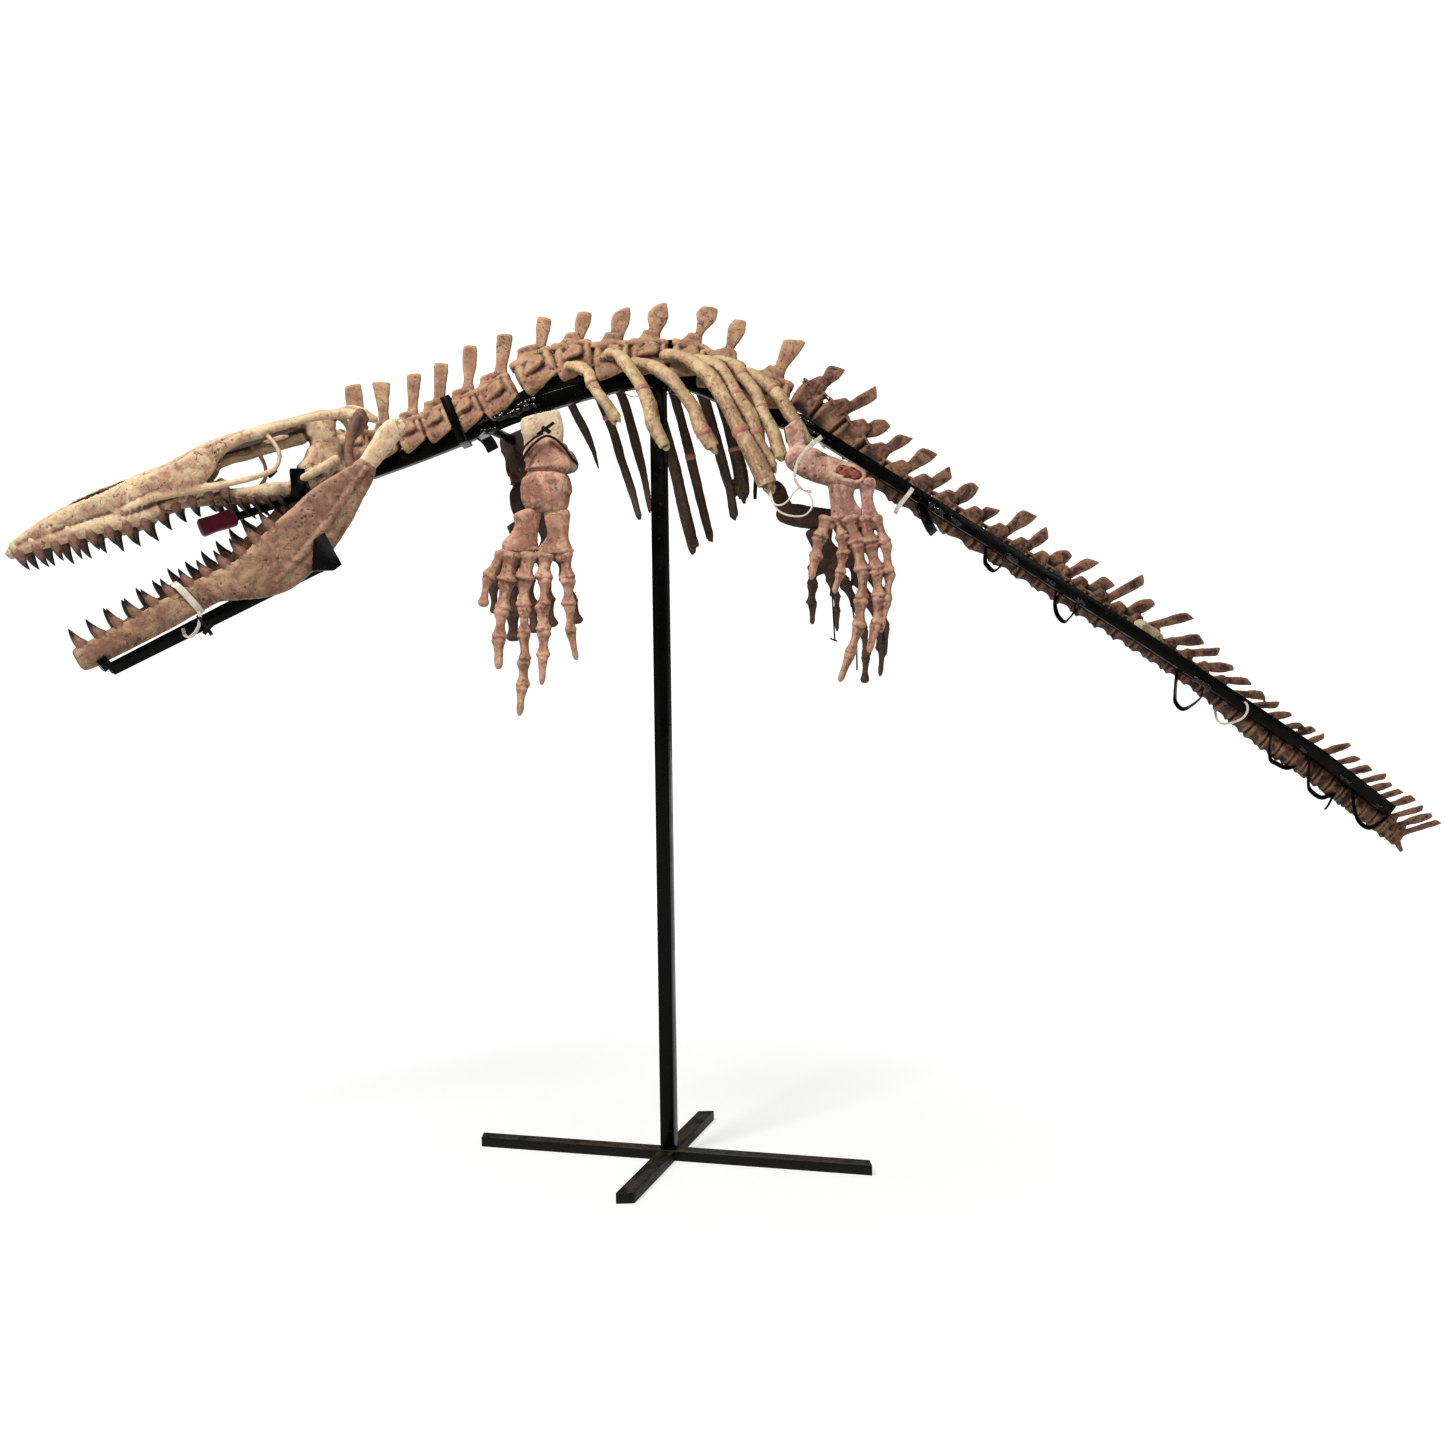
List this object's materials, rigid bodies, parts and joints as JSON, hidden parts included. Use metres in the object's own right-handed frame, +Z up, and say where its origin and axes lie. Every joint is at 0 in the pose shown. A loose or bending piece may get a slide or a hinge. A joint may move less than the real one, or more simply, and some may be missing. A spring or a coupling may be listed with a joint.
{
  "type": "mounted mosasaur skeleton",
  "caption": "Life-size mosasaur skeleton with open jaws, swimming nose down over a tall welded steel post with a crossed base.",
  "frame": {"origin": "on the floor under the middle of the post, at the middle of the underside of the crossed base", "axes": "+Z up the post; the tail runs towards +X and the head towards -X; the animal's left side faces -Y"},
  "size_m": [3.7868, 0.7467, 2.3747],
  "materials": {
    "bone": "mottled pink-brown fossil bone, dry and dull",
    "pale_bone": "pale ochre fossil bone, waxed to a faint sheen",
    "dark_bone": "dark red-brown fossil bone, dull",
    "tooth": "brown enamel with near-black tips",
    "black_steel": "thick black gloss paint with worn weld marks",
    "base_steel": "worn dark paint with dust and rust on the upper face",
    "pad_cloth": "dark red cloth wrapped over foam",
    "nylon_tie": "off-white and black nylon cable ties"
  },
  "bodies": {
    "root": {"cranium": "pale_bone", "rib_cage_left": "pale_bone", "rib_cage_right": "pale_bone", "mandible_left": "bone", "mandible_right": "bone", "neck_vertebrae": "bone", "tail_1": "bone", "tail_2": "bone", "quadrate_left": "dark_bone", "quadrate_right": "dark_bone", "tail_3": "dark_bone", "tail_4": "dark_bone", "tail_5": "dark_bone", "front_left_scapula": "bone", "front_left_humerus_upper": "bone", "front_left_humerus_lower": "bone", "front_left_radius": "bone", "front_left_ulna": "bone", "front_left_hand": "bone", "rear_left_ilium": "pale_bone", "rear_left_femur": "pale_bone", "rear_left_tibia": "pale_bone", "rear_left_fibula": "pale_bone", "rear_left_foot": "pale_bone", "front_right_scapula": "dark_bone", "front_right_humerus_upper": "dark_bone", "front_right_humerus_lower": "dark_bone", "front_right_radius": "dark_bone", "front_right_ulna": "dark_bone", "front_right_hand": "dark_bone", "rear_right_ilium": "dark_bone", "rear_right_femur": "dark_bone", "rear_right_tibia": "dark_bone", "rear_right_fibula": "dark_bone", "rear_right_foot": "dark_bone", "stand_post": "black_steel", "stand_beam": "black_steel", "stand_gusset": "black_steel", "stand_tail_tube": "black_steel", "stand_pin": "black_steel", "stand_collar": "black_steel", "stand_shoulder_bar_left": "black_steel", "stand_shoulder_bar_right": "black_steel", "stand_hip_bar_left": "black_steel", "stand_hip_bar_right": "black_steel", "stand_skull_bar": "black_steel", "stand_skull_clamp": "black_steel", "stand_jaw_cradle": "black_steel", "stand_jaw_rod_left": "black_steel", "stand_jaw_rod_right": "black_steel", "stand_long_foot": "base_steel", "stand_short_foot_back": "base_steel", "stand_short_foot_front": "base_steel", "stand_skull_pad": "pad_cloth"}
  },
  "joints": []
}
